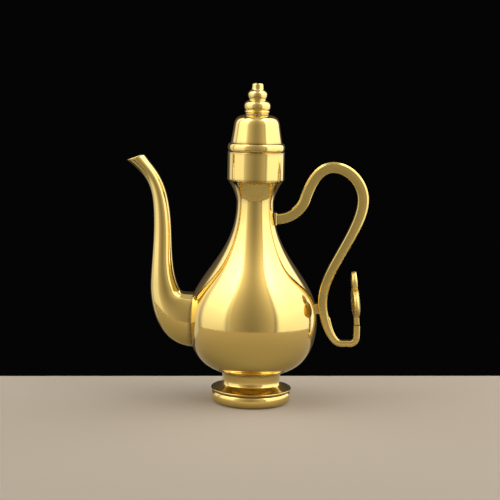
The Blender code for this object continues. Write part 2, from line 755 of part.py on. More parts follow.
def make_finial(lid):
    """Turned knob: a capped stem over two beads and a ring, with a tang through the dome."""
    seat = FINIAL_SEAT_Z
    top = seat + FINIAL_HEIGHT
    waist_z = seat + FINIAL_WAIST_Z
    ring_low = seat + RING_Z / 2
    cap = curve_through(
        [
            (CAP_RADIUS - CAP_EDGE, top, 0, 0, 0.9 * MM),
            (CAP_RADIUS, top - CAP_EDGE, 272, 0.7 * MM, 1.0 * MM),
            (CAP_RADIUS, seat + CAP_Z, 275, 1.0 * MM, 0.6 * MM),
            (UPPER_BEAD_RADIUS, seat + UPPER_BEAD_Z, 270, 2.2 * MM, 1.2 * MM),
            (FINIAL_WAIST_RADIUS, waist_z, 270, 1.4 * MM, 0),
        ],
        4,
    )
    lower = curve_through(
        [
            (FINIAL_WAIST_RADIUS + FINIAL_GROOVE, waist_z - FINIAL_GROOVE, 340, 0, 1.8 * MM),
            (LOWER_BEAD_RADIUS, seat + LOWER_BEAD_Z, 270, 2.4 * MM, 1.4 * MM),
            (RING_RADIUS - FINIAL_GROOVE, seat + RING_Z + FINIAL_GROOVE, 235, 1.0 * MM, 0),
        ],
        5,
    )
    foot_top = (FINIAL_FOOT_RADIUS, ring_low - FINIAL_GROOVE)
    ring = [(RING_RADIUS, seat + RING_Z), (RING_RADIUS, ring_low), foot_top]
    tang_end = NUT_TOP_Z - NUT_HEIGHT - TANG_SPARE
    tang = [(FINIAL_FOOT_RADIUS, seat), (TANG_RADIUS, seat), (TANG_RADIUS, tang_end), (0, tang_end)]
    outline = [(0, top), *cap, *lower, *ring, *tang]
    return finish(turned("finial", on_lid(outline), lid, FINIAL_STEPS, solid=True), SPUN_BRASS, 0.12)


def make_finial_washer(lid):
    base = WASHER_TOP_Z - WASHER_HEIGHT
    outline = [
        (WASHER_RADIUS, WASHER_TOP_Z),
        (WASHER_RADIUS, base),
        (TANG_HOLE, base),
        (TANG_HOLE, WASHER_TOP_Z),
    ]
    return finish(turned("finial_washer", on_lid(outline), lid, FINIAL_STEPS), INNER_BRASS, 0.35)


def make_finial_nut(lid):
    """Six-sided nut. Its bore has six sides too, and their flats clear the tang."""
    corner = NUT_FLATS / 2 / math.cos(math.pi / 6)
    base = NUT_TOP_Z - NUT_HEIGHT
    outline = [(corner, NUT_TOP_Z), (corner, base), (TANG_HOLE + GAP, base), (TANG_HOLE + GAP, NUT_TOP_Z)]
    return finish(turned("finial_nut", on_lid(outline), lid, 6), INNER_BRASS, 0.35)


def main():
    for stale in list(bpy.data.objects):
        bpy.data.objects.remove(stale, do_unlink=True)

    pot = add_object("pot_axis", None, None, (AXIS_X, 0, 0))
    lid = add_object("lid_axis", None, pot, (0, 0, LID_SEAT_Z))

    envelope = make_body_envelope(pot)
    make_neck_shell(pot)
    make_belly_shell(pot)
    make_base_bowl(pot)
    make_bottom_disc(pot)
    make_mouth_collar(pot)
    make_foot_stand(pot)
    make_foot_rim(pot)
    make_spout(pot, envelope)
    make_handle_bar(pot)
    make_handle_neck_pad(pot, envelope)
    make_handle_belly_lug(pot, envelope, make_handle_bar(pot, GAP))
    make_tail_leaf(pot)

    make_lid_skirt(lid)
    make_lid_bead_ring(lid)
    make_lid_dome(lid)
    make_finial(lid)
    make_finial_washer(lid)
    make_finial_nut(lid)


main()
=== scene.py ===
"""Polished brass wine pot: its finished surfaces, made round the frame of its construction model.

Lengths are in metres and +Z is up. The pot stands on Z = 0 with its spout towards -X.
"""

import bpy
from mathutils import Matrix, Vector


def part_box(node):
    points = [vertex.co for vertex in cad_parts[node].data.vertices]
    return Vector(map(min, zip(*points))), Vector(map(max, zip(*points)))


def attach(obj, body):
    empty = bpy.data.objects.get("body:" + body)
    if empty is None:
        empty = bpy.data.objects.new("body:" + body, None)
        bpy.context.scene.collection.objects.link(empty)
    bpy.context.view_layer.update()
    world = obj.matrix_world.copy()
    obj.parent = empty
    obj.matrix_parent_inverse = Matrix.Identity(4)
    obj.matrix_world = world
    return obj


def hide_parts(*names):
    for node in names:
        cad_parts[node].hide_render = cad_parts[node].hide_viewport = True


bl_info = {
    "name": "Brass Wine Pot",
    "version": (1, 0, 0),
    "blender": (4, 5, 0),
    "location": "View3D > Sidebar > Wine Pot",
    "description": "Makes a polished brass wine pot, piece by piece, with a plain studio round it",
    "category": "Add Mesh",
}

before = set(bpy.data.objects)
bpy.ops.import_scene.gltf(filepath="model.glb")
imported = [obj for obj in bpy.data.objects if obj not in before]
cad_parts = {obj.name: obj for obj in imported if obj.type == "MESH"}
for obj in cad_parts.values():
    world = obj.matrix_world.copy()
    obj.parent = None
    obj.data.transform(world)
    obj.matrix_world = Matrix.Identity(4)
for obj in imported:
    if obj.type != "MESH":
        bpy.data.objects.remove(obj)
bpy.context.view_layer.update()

import math

import bmesh
import bpy
from mathutils import Matrix, Vector
from mathutils.geometry import interpolate_bezier
from mathutils.kdtree import KDTree

MM = 0.001


def turned_size(node):
    """Outer radius, base and top of a node that is turned round the pot's axis."""
    low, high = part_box(node)
    return (high.x - low.x) / 2, low.z, high.z


# Places and sizes that the frame gives
COLLAR_RADIUS, COLLAR_BASE, MOUTH_Z = turned_size("mouth_collar")
RIM_RADIUS, _, RIM_TOP = turned_size("foot_rim")
STAND_RADIUS, STAND_BASE, _ = turned_size("foot_stand")
BEAD_RADIUS, BEAD_BASE, BEAD_TOP = turned_size("lid_bead_ring")
SKIRT_RADIUS, SKIRT_BASE, SKIRT_TOP = turned_size("lid_skirt")
DOME_RADIUS, DOME_BASE, DOME_TOP = turned_size("lid_dome")
FINIAL_RADIUS, FINIAL_BASE, FINIAL_TOP = turned_size("finial")
WASHER_RADIUS, WASHER_BASE, WASHER_TOP = turned_size("finial_washer")
NUT_RADIUS, NUT_BASE, NUT_TOP = turned_size("finial_nut")
NECK_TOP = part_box("neck_shell")[1].z
BELLY_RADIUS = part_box("belly_shell")[1].y
BODY_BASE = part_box("base_bowl")[0].z
SPOUT_LOW, SPOUT_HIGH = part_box("spout")
AXIS_X = sum(corner.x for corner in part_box("mouth_collar")) / 2
GAP = BEAD_BASE - MOUTH_Z
SHOULDER_Z = COLLAR_BASE - GAP

# Tints of the light from the front and from behind
WARM = (1, 0.9, 0.76)
BROWN = (1, 0.82, 0.56)

# How finely the pieces are drawn
TURN_STEPS = 192
SPAN_POINTS = 22
SPOUT_SIDES = 72
CORNER_POINTS = 5
SHARP_ANGLE = math.radians(35)
LONGEST_STEP = 1.2 * MM
MERGE = 0.001 * MM

# Room left at a brazed seam
BRAZED = 0.08 * MM

# The finial's threaded tang, and the holes that it goes through
TANG_RADIUS = 2.5 * MM
TANG_HOLE = 2.8 * MM
NUT_BORE = 3.1 * MM

# How far out the tail ends, from the widest place of the belly
TAIL_REACH = 31.5 * MM

# Half width of the tail leaf, and heights along it
LEAF_HALF_WIDTH = 17.5 * MM
LEAF_CUSP = 5.8 * MM
LEAF_WIDEST = 16.5 * MM
LEAF_TIP_WIDEST = 34.0 * MM


def linear(code):
    """Linear red, green and blue of an sRGB hex colour."""
    shares = [int(code[place : place + 2], 16) / 255 for place in (0, 2, 4)]
    return [share / 12.92 if share <= 0.04045 else ((share + 0.055) / 1.055) ** 2.4 for share in shares]


class WinePotSizes(bpy.types.PropertyGroup):
    """Sizes of the pot that its frame doesn't give."""

    neck_radius: bpy.props.FloatProperty(
        name="Neck radius", description="Radius at the narrowest place", default=14.3 * MM, unit="LENGTH"
    )
    neck_height: bpy.props.FloatProperty(
        name="Neck height", description="Height of the narrowest place", default=157.5 * MM, unit="LENGTH"
    )
    belly_height: bpy.props.FloatProperty(
        name="Belly height", description="Height of the widest place", default=66.0 * MM, unit="LENGTH"
    )
    body_wall: bpy.props.FloatProperty(
        name="Body wall", description="Thickness of the spun sheet", default=1.3 * MM, unit="LENGTH"
    )
    collar_wall: bpy.props.FloatProperty(
        name="Collar wall", description="Thickness of the mouth band", default=1.8 * MM, unit="LENGTH"
    )
    lid_wall: bpy.props.FloatProperty(
        name="Lid wall", description="Thickness of the dome and skirt", default=1.2 * MM, unit="LENGTH"
    )
    waist_radius: bpy.props.FloatProperty(
        name="Waist radius", description="Radius of the foot's waist", default=22.6 * MM, unit="LENGTH"
    )
    spout_wall: bpy.props.FloatProperty(
        name="Spout wall", description="Thickness of the spout's wall", default=1.2 * MM, unit="LENGTH"
    )
    spine_height: bpy.props.FloatProperty(
        name="Spine height", description="Rise of the handle's outer spine", default=0.7 * MM, unit="LENGTH"
    )
    crown_rise: bpy.props.FloatProperty(
        name="Crown rise", description="Rise of the crown to the finial", default=1.2 * MM, unit="LENGTH"
    )
    leaf_thickness: bpy.props.FloatProperty(
        name="Leaf thickness", description="Thickness at the leaf's rim", default=3.8 * MM, unit="LENGTH"
    )


class WinePotFinish(bpy.types.PropertyGroup):
    """Colours and polish of the brass."""

    sheet_colour: bpy.props.FloatVectorProperty(
        name="Sheet brass", description="Colour of the spun sheet", subtype="COLOR", default=linear("F0D178")
    )
    cast_colour: bpy.props.FloatVectorProperty(
        name="Cast brass", description="Colour of the cast pieces", subtype="COLOR", default=linear("EFD276")
    )
    inner_colour: bpy.props.FloatVectorProperty(
        name="Inner brass", description="Colour of dull faces", subtype="COLOR", default=linear("B98F4C")
    )
    # The oxide colour is tarnish in the seams, and is also painted as shade under the belly and along the
    # foot's tread
    oxide_and_shade_colour: bpy.props.FloatVectorProperty(
        name="Oxide", description="Colour of tarnish in seams", subtype="COLOR", default=linear("4A2E12")
    )
    sheet_roughness: bpy.props.FloatProperty(
        name="Sheet roughness", description="Roughness of the mirror polish", default=0.07, subtype="FACTOR"
    )
    cast_roughness: bpy.props.FloatProperty(
        name="Cast roughness", description="Roughness of the castings", default=0.17, subtype="FACTOR"
    )


class WinePotStudio(bpy.types.PropertyGroup):
    """Floor, lights and camera."""

    floor_colour: bpy.props.FloatVectorProperty(
        name="Floor", description="Colour of the plain floor", subtype="COLOR", default=linear("8B8575")
    )
    floor_reach: bpy.props.FloatProperty(
        name="Floor reach", description="From the axis to the round front", default=0.335, unit="LENGTH"
    )
    floor_back: bpy.props.FloatProperty(
        name="Floor back", description="From the axis to the back edge", default=0.093, unit="LENGTH"
    )
    lens: bpy.props.FloatProperty(
        name="Lens", description="Focal length of the camera in millimetres", default=102.17
    )
    camera_distance: bpy.props.FloatProperty(
        name="Camera distance", description="From the pot's axis", default=1.1, unit="LENGTH"
    )
    camera_height: bpy.props.FloatProperty(
        name="Camera height", description="Above the floor", default=264.85 * MM, unit="LENGTH"
    )
    camera_left: bpy.props.FloatProperty(
        name="Camera left", description="To the left of the pot's axis", default=3.18 * MM, unit="LENGTH"
    )
    camera_pitch: bpy.props.FloatProperty(
        name="Camera pitch", description="Downward tilt", default=math.radians(7.482), unit="ROTATION"
    )
    camera_roll: bpy.props.FloatProperty(
        name="Camera roll",
        description="Turn about the line of sight",
        default=math.radians(1.296),
        unit="ROTATION",
    )


def heading(degrees):
    """Unit vector at an angle from the first axis."""
    return Vector((math.cos(math.radians(degrees)), math.sin(math.radians(degrees))))


def curve_through(knots, points=SPAN_POINTS):
    """Points along a smooth curve. A knot is (x, z, heading in degrees, reach behind, reach ahead)."""
    run = []
    for first, second in zip(knots, knots[1:]):
        start = Vector(first[:2])
        end = Vector(second[:2])
        leave = start + first[4] * heading(first[2])
        arrive = end - second[3] * heading(second[2])
        run += interpolate_bezier(start, leave, arrive, end, points)[: points - 1]
    return run + [Vector(knots[-1][:2])]


def offset(run, distance):
    """The run of points moved to the right of its direction of travel."""
    moved = []
    for index, point in enumerate(run):
        behind = run[max(index - 1, 0)]
        ahead = run[min(index + 1, len(run) - 1)]
        along = (ahead - behind).normalized()
        moved.append(point + distance * Vector((along.y, -along.x)))
    return moved


def eased(values, points=SPAN_POINTS):
    """Values eased from one to the next, one for each point that curve_through gives."""
    run = []
    for first, second in zip(values, values[1:]):
        for step in range(points - 1):
            share = step / (points - 1)
            run.append(first + (second - first) * share * share * (3 - 2 * share))
    return run + [values[-1]]


def rounded(outline, radius):
    """The closed outline with each clear corner drawn as a small curve."""
    result = []
    count = len(outline)
    for index, point in enumerate(outline):
        point = Vector(point)
        before = Vector(outline[index - 1]) - point
        after = Vector(outline[(index + 1) % count]) - point
        if before.length < MERGE or after.length < MERGE or before.angle(-after) < math.radians(20):
            result.append(point)
            continue
        start = point + before.normalized() * min(radius, before.length * 0.45)
        end = point + after.normalized() * min(radius, after.length * 0.45)
        result += interpolate_bezier(start, start.lerp(point, 0.6), end.lerp(point, 0.6), end, CORNER_POINTS)
    return result


def dense(run):
    """The run with more points on its long straight stretches, so that marks on it stay local."""
    result = [Vector(run[0])]
    for first, second in zip(run, run[1:]):
        first = Vector(first)
        second = Vector(second)
        parts = max(1, round((second - first).length / LONGEST_STEP))
        result += [first.lerp(second, part / parts) for part in range(1, parts + 1)]
    return result


def add_node(tree, kind, inputs=None, **settings):
    """A node with its settings, and with its inputs set to values or linked to sockets."""
    node = tree.nodes.new(kind)
    for name, value in settings.items():
        setattr(node, name, value)
    for key, value in (inputs or {}).items():
        if isinstance(value, bpy.types.NodeSocket):
            tree.links.new(value, node.inputs[key])
        else:
            node.inputs[key].default_value = value
    return node


def maths(tree, operation, *values):
    """Result of a maths node on values or sockets."""
    return add_node(tree, "ShaderNodeMath", dict(enumerate(values)), operation=operation).outputs[0]


def lathe_tree():
    """Geometry nodes that turn an outline, the points of a mesh in the XZ plane, round the pot's axis."""
    tree = bpy.data.node_groups.get("turning_lathe")
    if tree:
        return tree
    tree = bpy.data.node_groups.new("turning_lathe", "GeometryNodeTree")
    sockets = tree.interface
    sockets.new_socket("Outline", in_out="INPUT", socket_type="NodeSocketGeometry")
    sockets.new_socket("Steps", in_out="INPUT", socket_type="NodeSocketInt")
    sockets.new_socket("Axis X", in_out="INPUT", socket_type="NodeSocketFloat")
    sockets.new_socket("Sharp Angle", in_out="INPUT", socket_type="NodeSocketFloat")
    sockets.new_socket("Material", in_out="INPUT", socket_type="NodeSocketMaterial")
    sockets.new_socket("Turned", in_out="OUTPUT", socket_type="NodeSocketGeometry")
    given = add_node(tree, "NodeGroupInput").outputs

    count = add_node(
        tree, "GeometryNodeAttributeDomainSize", {"Geometry": given["Outline"]}, component="MESH"
    )
    rows = maths(tree, "SUBTRACT", count.outputs["Point Count"], 1)
    columns = maths(tree, "ADD", given["Steps"], 1)
    grid = add_node(
        tree,
        "GeometryNodeMeshGrid",
        {"Size X": 1, "Size Y": 1, "Vertices X": count.outputs["Point Count"], "Vertices Y": columns},
    )
    position = add_node(tree, "GeometryNodeInputPosition").outputs[0]
    place = add_node(tree, "ShaderNodeSeparateXYZ", {0: position})
    down = maths(tree, "ADD", place.outputs["X"], 0.5)
    row = maths(tree, "ROUND", maths(tree, "MULTIPLY", down, rows))
    turn = maths(tree, "MULTIPLY", place.outputs["Y"], math.tau)
    sample = add_node(
        tree,
        "GeometryNodeSampleIndex",
        {"Geometry": given["Outline"], "Index": row},
        data_type="FLOAT_VECTOR",
        domain="POINT",
    )
    tree.links.new(position, sample.inputs["Value"])
    point = add_node(tree, "ShaderNodeSeparateXYZ", {0: sample.outputs["Value"]})
    x = maths(tree, "MULTIPLY_ADD", point.outputs["X"], maths(tree, "COSINE", turn), given["Axis X"])
    y = maths(tree, "MULTIPLY", point.outputs["X"], maths(tree, "SINE", turn))
    spot = add_node(tree, "ShaderNodeCombineXYZ", {"X": x, "Y": y, "Z": point.outputs["Z"]})
    moved = add_node(
        tree, "GeometryNodeSetPosition", {"Geometry": grid.outputs["Mesh"], "Position": spot.outputs[0]}
    )
    joined = add_node(tree, "GeometryNodeMergeByDistance", {"Geometry": moved.outputs[0], "Distance": MERGE})
    smooth = add_node(
        tree,
        "GeometryNodeSetShadeSmooth",
        {"Geometry": joined.outputs[0], "Shade Smooth": True},
        domain="FACE",
    )
    angle = add_node(tree, "GeometryNodeInputMeshEdgeAngle")
    clear = add_node(
        tree,
        "FunctionNodeCompare",
        {0: angle.outputs["Unsigned Angle"], 1: given["Sharp Angle"]},
        data_type="FLOAT",
        operation="GREATER_THAN",
    )
    edged = add_node(
        tree,
        "GeometryNodeSetShadeSmooth",
        {"Geometry": smooth.outputs[0], "Selection": clear.outputs[0], "Shade Smooth": False},
        domain="EDGE",
    )
    real = add_node(tree, "GeometryNodeRealizeInstances", {"Geometry": edged.outputs[0]})
    painted = add_node(
        tree, "GeometryNodeSetMaterial", {"Geometry": real.outputs[0], "Material": given["Material"]}
    )
    add_node(tree, "NodeGroupOutput", {"Turned": painted.outputs[0]})
    return tree


def add_piece(name, mesh):
    """An object for the mesh, put in the scene."""
    piece = bpy.data.objects.new(name, mesh)
    bpy.context.scene.collection.objects.link(piece)
    return piece


def face_outwards(mesh):
    """Turns the faces of a closed mesh round if they point inwards."""
    shape = bmesh.new()
    shape.from_mesh(mesh)
    if shape.calc_volume(signed=True) < 0:
        bmesh.ops.reverse_faces(shape, faces=shape.faces)
    shape.to_mesh(mesh)
    shape.free()


def mark_grime_and_shade(mesh, seams_and_shade):
    """Marks how close each point lies to a list of points: seams that tarnish gathers round, and places
    under the belly and along the foot's tread where shade is painted.
    """
    tree = KDTree(max(len(seams_and_shade), 1))
    for index, point in enumerate(seams_and_shade):
        tree.insert(point, index)
    tree.balance()
    reach = 1.1 * MM
    grime_and_shade = mesh.attributes.new("grime_and_shade", "FLOAT", "POINT")
    for vertex in mesh.vertices:
        distance = tree.find(vertex.co)[2] if seams_and_shade else 1.0
        grime_and_shade.data[vertex.index].value = math.exp(-((distance / reach) ** 2))


def rings_of(*places):
    """Points of level rings round the pot's axis, each given by its radius and height."""
    points = []
    for radius, z in places:
        for step in range(TURN_STEPS):
            turn = math.tau * step / TURN_STEPS
            points.append(Vector((AXIS_X + radius * math.cos(turn), radius * math.sin(turn), z)))
    return points


def turned(name, outline, material, seams_and_shade=(), solid=False, steps=TURN_STEPS):
    """A piece turned round the pot's axis from its (radius, height) outline, as a plain mesh."""
    run = dense(outline if solid else [*outline, outline[0]])
    mesh = bpy.data.meshes.new(name + "_outline")
    edges = [(index, index + 1) for index in range(len(run) - 1)]
    mesh.from_pydata([(radius, 0, z) for radius, z in run], edges, [])
    rough = add_piece(name + "_outline", mesh)
    tree = lathe_tree()
    lathe = rough.modifiers.new("lathe", "NODES")
    lathe.node_group = tree
    given = {"Steps": steps, "Axis X": AXIS_X, "Sharp Angle": SHARP_ANGLE, "Material": material}
    for item in tree.interface.items_tree:
        if item.in_out == "INPUT" and item.name in given:
            lathe[item.identifier] = given[item.name]
    evaluated = rough.evaluated_get(bpy.context.evaluated_depsgraph_get())
    made = bpy.data.meshes.new_from_object(evaluated)
    made.name = name
    bpy.data.objects.remove(rough)
    face_outwards(made)
    mark_grime_and_shade(made, seams_and_shade)
    return add_piece(name, made)


def band(out, bore, base, top):
    """Outline of a plain ring."""
    return [(out, top), (out, base), (bore, base), (bore, top)]


def skinned(name, rings, material, endless=False, capped=True, seams_and_shade=()):
    """A skin over rings of points. It ends in caps, or in rings drawn in to a line, or else runs from the
    last ring back to the first."""
    shape = bmesh.new()
    loops = [[shape.verts.new(point) for point in ring] for ring in rings]
    pairs = list(zip(loops, loops[1:]))
    if endless:
        pairs.append((loops[-1], loops[0]))
    elif capped:
        shape.faces.new(loops[0])
        shape.faces.new(loops[-1])
    for first, second in pairs:
        for index in range(len(first)):
            following = (index + 1) % len(first)
            shape.faces.new((first[index], first[following], second[following], second[index]))
    bmesh.ops.remove_doubles(shape, verts=shape.verts, dist=MERGE)
    bmesh.ops.recalc_face_normals(shape, faces=shape.faces)
    mesh = bpy.data.meshes.new(name)
    shape.to_mesh(mesh)
    shape.free()
    face_outwards(mesh)
    mesh.materials.append(material)
    mesh.shade_smooth()
    mesh.set_sharp_from_angle(angle=SHARP_ANGLE)
    mark_grime_and_shade(mesh, list(seams_and_shade))
    return add_piece(name, mesh)


def hand_over(piece, body, slot, *nodes):
    """Rides the piece on its body in place of its nodes."""
    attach(piece, body)
    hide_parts(*nodes)


def brass(name, finish, colour, roughness, smudge, ripple, line):
    """Brass whose tone and polish drift a little, with tarnish in its seams, and with painted shade under
    the belly and along the foot's tread. Smudge is the roughness of its dullest places, ripple the depth of
    its waviness, and line the spacing of the polishing lines."""
    material = bpy.data.materials.get(name)
    if material:
        return material
    material = bpy.data.materials.new(name)
    material.use_nodes = True
    tree = material.node_tree
    shader = tree.nodes["Principled BSDF"]
    shader.inputs["Metallic"].default_value = 1
    # A thin clear lacquer puts a second, sharper reflection over that of the metal
    shader.inputs["Coat Weight"].default_value = 0.6
    shader.inputs["Coat Roughness"].default_value = 0.04
    place = add_node(tree, "ShaderNodeTexCoord").outputs["Object"]

    drift = add_node(tree, "ShaderNodeTexNoise", {"Vector": place, "Scale": 1 / (38 * MM), "Detail": 3})
    oxide_and_shade = list(finish.oxide_and_shade_colour)
    deep = [channel * 0.9 for channel in colour]
    tone = add_node(
        tree,
        "ShaderNodeMix",
        {"Factor": drift.outputs["Fac"], 6: (*deep, 1), 7: (*colour, 1)},
        data_type="RGBA",
    )
    # Oxide is mixed in near the marked points: tarnish at the seams, and painted shade under the belly and
    # on the foot's tread
    grime_and_shade = add_node(tree, "ShaderNodeAttribute", attribute_name="grime_and_shade")
    patch = add_node(tree, "ShaderNodeTexNoise", {"Vector": place, "Scale": 1 / (5 * MM), "Detail": 4})
    stain_and_shade = maths(tree, "MULTIPLY", grime_and_shade.outputs["Fac"], patch.outputs["Fac"])
    stained_and_shaded = add_node(
        tree,
        "ShaderNodeMix",
        {"Factor": stain_and_shade, 6: tone.outputs[2], 7: (*oxide_and_shade, 1)},
        data_type="RGBA",
    )
    tree.links.new(stained_and_shaded.outputs[2], shader.inputs["Base Color"])

    wiped = add_node(
        tree, "ShaderNodeTexNoise", {"Vector": place, "Scale": 1 / (16 * MM), "Detail": 5, "Distortion": 0.6}
    )
    polish = add_node(
        tree,
        "ShaderNodeMapRange",
        {
            "Value": wiped.outputs["Fac"],
            "From Min": 0.35,
            "From Max": 0.75,
            "To Min": roughness,
            "To Max": smudge,
        },
    )
    dulled = maths(tree, "MULTIPLY_ADD", stain_and_shade, 0.35, polish.outputs[0])
    tree.links.new(dulled, shader.inputs["Roughness"])

    wave = add_node(tree, "ShaderNodeTexNoise", {"Vector": place, "Scale": 1 / (26 * MM), "Detail": 1})
    spun = add_node(
        tree, "ShaderNodeBump", {"Height": wave.outputs["Fac"], "Strength": 1, "Distance": ripple}
    )
    across = add_node(tree, "ShaderNodeMapping", {"Vector": place, "Scale": (0.12, 0.12, 1)})
    marks = add_node(
        tree, "ShaderNodeTexNoise", {"Vector": across.outputs[0], "Scale": 1 / line, "Detail": 3}
    )
    buffed = add_node(
        tree,
        "ShaderNodeBump",
        {"Height": marks.outputs["Fac"], "Strength": 1, "Distance": 0.0012 * MM, "Normal": spun.outputs[0]},
    )
    tree.links.new(buffed.outputs[0], shader.inputs["Normal"])
    return material


def spun_brass(finish):
    """Buffed sheet brass: a mirror polish that waves a little where the sheet was spun."""
    colour = list(finish.sheet_colour)
    rough = finish.sheet_roughness
    return brass("buffed_sheet_brass", finish, colour, rough, rough * 1.6, 0.03 * MM, 1.6 * MM)


def cast_brass(finish):
    """Polished cast brass: softer reflections than the sheet, and fine lines from the grinding."""
    colour = list(finish.cast_colour)
    rough = finish.cast_roughness
    return brass("polished_cast_brass", finish, colour, rough, rough * 1.7, 0.02 * MM, 1.2 * MM)


def satin_brass(finish):
    """Cast brass brushed to a satin: broad pale highlights and no clear reflections."""
    colour = [0.5 * (cast + sheet) for cast, sheet in zip(finish.cast_colour, finish.sheet_colour)]
    rough = finish.cast_roughness
    return brass("satin_cast_brass", finish, colour, rough * 2, rough * 2.5, 0.02 * MM, 1.2 * MM)


def turned_brass(finish):
    """Brass left as it came from the lathe: dull, with tool marks, and browned by age."""
    return brass("lathe_turned_brass", finish, list(finish.inner_colour), 0.32, 0.45, 0.02 * MM, 0.9 * MM)


def body_profile(sizes):
    """Outer line of the body, from the shoulder down to the hidden edge inside the foot."""
    return curve_through(
        [
            (COLLAR_RADIUS - GAP, SHOULDER_Z, 225, 0, 4.5 * MM),
            (sizes.neck_radius, sizes.neck_height, 270, 5.4 * MM, 43.9 * MM),
            (BELLY_RADIUS, sizes.belly_height, 270, 34.7 * MM, 36.0 * MM),
            (17.5 * MM, BODY_BASE, 186, 11.4 * MM, 0),
        ],
        2 * SPAN_POINTS,
    )


def under_body(sizes, radius, distance):
    """Point below the belly at a radius, with a distance left to its surface."""
    line = offset(body_profile(sizes), -distance)
    for outer, inner in zip(line, line[1:]):
        if outer.y < sizes.belly_height and inner.x <= radius <= outer.x:
            share = (radius - inner.x) / (outer.x - inner.x)
            return Vector((radius, inner.y + share * (outer.y - inner.y)))
    raise ValueError("the radius is outside the belly's underside")


def spout_edges():
    """Outer and inner edge of the spout, seen from the side, from its lip to its root in the body."""
    root = BELLY_RADIUS - 12 * MM
    lip = AXIS_X - SPOUT_LOW.x
    lip_rise = 4.4 * MM
    lip_z = SPOUT_HIGH.z - lip_rise
    elbow = lip - 19.8 * MM
    stem = lip - 21.7 * MM
    outer = curve_through(
        [
            (root, 43.3 * MM, -8, 0, 35.6 * MM),
            (elbow, 91.5 * MM, 90, 17.2 * MM, 13.0 * MM),
            (stem, 136.0 * MM, 90, 15.0 * MM, 34.0 * MM),
            (lip, lip_z, 38, 22.0 * MM, 0),
        ]
    )
    inner = curve_through(
        [
            (root, 86.3 * MM, 0, 0, 15.0 * MM),
            (lip - 42.5 * MM, 88.6 * MM, 62, 3.2 * MM, 13.0 * MM),
            (stem - 13.5 * MM, 136.0 * MM, 87, 18.0 * MM, 40.0 * MM),
            (lip - 13.5 * MM, SPOUT_HIGH.z, 55, 14.0 * MM, 0),
        ]
    )
    return outer[::-1], inner[::-1]


def spout_lines(sizes, wall):
    """Lines that run down the spout from its lip to the belly, drawn in by a wall."""
    outer, inner = spout_edges()
    depths = eased([12.8 * MM, 13.2 * MM, 19.0 * MM, 30.0 * MM])
    profile = body_profile(sizes)
    lines = []
    for side in range(SPOUT_SIDES):
        turn = math.tau * side / SPOUT_SIDES
        line = []
        for far, near, depth in zip(outer, inner, depths):
            middle = (far + near) / 2
            half = (far - near) / 2
            half = half * (1 - wall / half.length)
            point = middle + half * math.cos(turn)
            line.append(Vector((point.x, (depth / 2 - wall) * math.sin(turn), point.y)))
        lines.append(ended_on(profile, line))
    return lines


def ended_on(profile, line):
    """The line cut where it meets the belly, and spread again over as many points."""
    count = len(line)

    def at(place):
        index = min(int(place), count - 2)
        return line[index].lerp(line[index + 1], place - index)

    def outside(point):
        radius = math.hypot(point.x, point.y) - BRAZED
        for upper, lower in zip(profile, profile[1:]):
            if lower.y <= point.z <= upper.y:
                share = (point.z - lower.y) / max(upper.y - lower.y, MERGE)
                return radius > lower.x + share * (upper.x - lower.x)
        return True

    reach = next((index for index, point in enumerate(line) if not outside(point)), count - 1)
    near, far = reach - 1.0, float(reach)
    for _ in range(20):
        middle = (near + far) / 2
        if outside(at(middle)):
            near = middle
        else:
            far = middle
    return [at(near * step / (count - 1)) for step in range(count)]


def rounded_lip(outside, bore):
    """One line that runs up the spout's outside, over its rounded lip and down the bore."""
    middle = (outside[0] + bore[0]) / 2
    radius = (outside[0] - bore[0]).length / 2
    lip = []
    for line in (outside, bore):
        start = line[0] + (line[1] - line[0]).normalized() * radius
        leave = start.lerp(line[0], 0.6)
        arrive = middle.lerp(line[0], 0.6)
        lip.append(interpolate_bezier(start, leave, arrive, middle, CORNER_POINTS))
    return outside[:0:-1] + lip[0] + lip[1][-2::-1] + bore[1:]


def to_spout_side(point):
    """A point measured out from the axis, set on the spout's side of the pot."""
    return Vector((AXIS_X - point.x, point.y, point.z))


def handle_path():
    """Middle line of the bar, from the neck pad over the loop and down to the end of the tail."""
    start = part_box("handle_neck_pad")[1].x + GAP - AXIS_X
    out = BELLY_RADIUS
    floor = 47.9 * MM
    return curve_through(
        [
            (start, 145.3 * MM, 0, 0, 10.0 * MM),
            (out - 11.7 * MM, 160.5 * MM, 73, 8.0 * MM, 9.0 * MM),
            (out + 9.7 * MM, 186.1 * MM, 0, 13.0 * MM, 12.5 * MM),
            (out + 33.1 * MM, 161.0 * MM, 270, 13.0 * MM, 13.0 * MM),
            (out + 15.9 * MM, 117.0 * MM, 242.5, 18.0 * MM, 13.0 * MM),
            (out + 3.7 * MM, 81.0 * MM, 270, 13.0 * MM, 13.0 * MM),
            (out + 19.5 * MM, floor, 360, 8.5 * MM, 2.5 * MM),
            (out + 26.6 * MM, floor, 360, 2.5 * MM, 2.7 * MM),
            (out + TAIL_REACH, floor + 5.0 * MM, 450, 2.6 * MM, 3.0 * MM),
            (out + TAIL_REACH, 62.6 * MM, 450, 3.0 * MM, 0),
        ]
    )


def bar_section(width, depth, spine):
    """Outline of the bar: a square with small round edges and a raised spine on its outer side."""
    edge = 0.9 * MM
    wide = width / 2 - edge
    deep = depth / 2 - edge
    section = []
    for height, out in ((0, 2.3), (0.6, 2.15), (1, 1.8), (1, -1.8), (0.6, -2.15), (0, -2.3)):
        section.append((width / 2 + spine * height, out * MM))
    for across, out, start in ((1, -1, 0), (-1, -1, -90), (-1, 1, -180), (1, 1, -270)):
        for step in range(CORNER_POINTS):
            turn = math.radians(start - 90 * step / (CORNER_POINTS - 1))
            section.append((across * wide + edge * math.cos(turn), out * deep + edge * math.sin(turn)))
    return section


